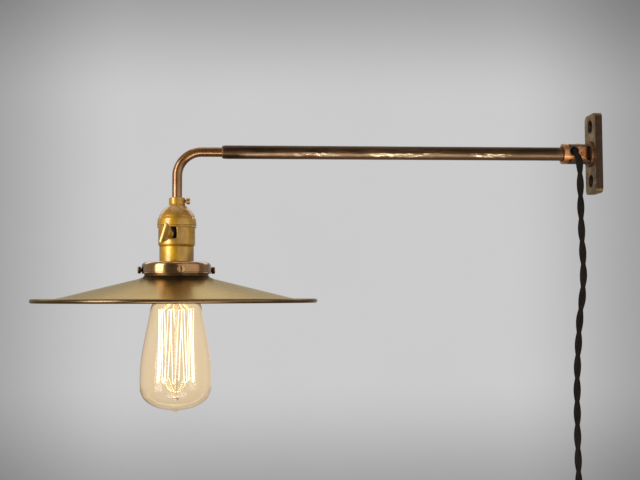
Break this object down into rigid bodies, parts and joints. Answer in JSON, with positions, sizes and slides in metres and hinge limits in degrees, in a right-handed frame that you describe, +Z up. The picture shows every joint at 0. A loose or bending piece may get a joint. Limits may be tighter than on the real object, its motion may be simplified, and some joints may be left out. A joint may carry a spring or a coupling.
{
  "type": "swing arm wall sconce",
  "caption": "Wall sconce with a swivelling straight arm, bent tube, key socket, flat cone shade, long filament bulb and a twisted cloth cord with plug.",
  "frame": {"origin": "centre of the wall plate's back face, on the wall", "axes": "+X into the wall, so the arm runs along -X; +Z up; the cord leaves on the -Y side"},
  "size_m": [0.5155, 0.254, 0.564],
  "materials": {
    "aged_bronze": "brushed bar, mottled brown patina, darker edges",
    "swivel_bronze": "turned copper-toned bronze, satin with streaks",
    "arm_bronze": "dark brown patina with rubbed bright streaks",
    "tube_brass": "polished, slightly tarnished reddish brass",
    "socket_brass": "satin yellow brass with light tarnish",
    "holder_brass": "polished antique brass, brown reflections",
    "shade_brass": "satin olive-tan antique brass, dark rim",
    "screw_brass": "polished heads with dark slots",
    "steel_screw": "darkened steel",
    "insulator": "moulded, dull",
    "liner_paper": "pressed insulating paper",
    "contact_brass": "bright stamped brass",
    "bulb_base_metal": "bright brass",
    "amber_glass": "clear, faint amber tint",
    "stem_glass": "clear lead glass",
    "support_wire": "thin bright wire",
    "filament_glow": "lit carbon filament",
    "cord_cloth": "dark brown-black braided cotton, twisted pair",
    "plug_moulding": "dark brown phenolic, worn gloss",
    "tie_leather": "dark brown strap"
  },
  "bodies": {
    "wall_bracket": {"wall_plate": "aged_bronze", "swivel_base": "swivel_bronze", "pivot_pin": "tube_brass", "swivel_washers": "contact_brass"},
    "arm": {"swivel_head": "swivel_bronze", "cord_bushing": "insulator", "arm_tube": "arm_bronze", "arm_end_sleeve": "contact_brass", "arm_set_screw": "steel_screw", "cord_drop": "cord_cloth", "cord_hank": "cord_cloth", "cord_tie": "tie_leather", "cord_tail": "cord_cloth", "plug_body": "plug_moulding", "plug_collar": "insulator", "plug_blades": "contact_brass"},
    "lamp_head": {"tube_retaining_nut": "contact_brass", "bent_tube": "tube_brass", "inner_lead": "cord_cloth", "socket_cap": "socket_brass", "cap_set_screw": "screw_brass", "socket_shell": "socket_brass", "shell_liner": "liner_paper", "socket_body": "insulator", "terminal_screws": "contact_brass", "screw_shell": "contact_brass", "centre_contact": "contact_brass", "shade_holder": "holder_brass", "holder_ring": "holder_brass", "holder_screws": "screw_brass", "shade_neck": "shade_brass", "shade": "shade_brass"},
    "switch_key": {"switch_cam": "insulator", "switch_shaft": "socket_brass", "paddle_key": "socket_brass"},
    "bulb": {"bulb_base": "bulb_base_metal", "base_insulator": "insulator", "base_contact": "contact_brass", "bulb_glass": "amber_glass", "bulb_stem": "stem_glass", "filament_supports": "support_wire", "filament": "filament_glow"}
  },
  "joints": [
    {"name": "arm_swing", "type": "hinge", "parent": "wall_bracket", "child": "arm", "pos_m": [-0.01855, 0, 0], "axis": [0, 0, 1], "range_deg": [-70, 42]},
    {"name": "head_turn", "type": "hinge", "parent": "arm", "child": "lamp_head", "pos_m": [-0.32, 0, 0], "axis": [1, 0, 0], "range_deg": [-90, 90]},
    {"name": "key_turn", "type": "hinge", "parent": "lamp_head", "child": "switch_key", "pos_m": [-0.39368, -0.01932, -0.0762], "axis": [-0.2588, -0.9659, 0], "continuous": true},
    {"name": "bulb_unscrew", "type": "hinge", "parent": "lamp_head", "child": "bulb", "pos_m": [-0.3885, 0, -0.11], "axis": [0, 0, 1], "range_deg": [-1530, 0]}
  ]
}
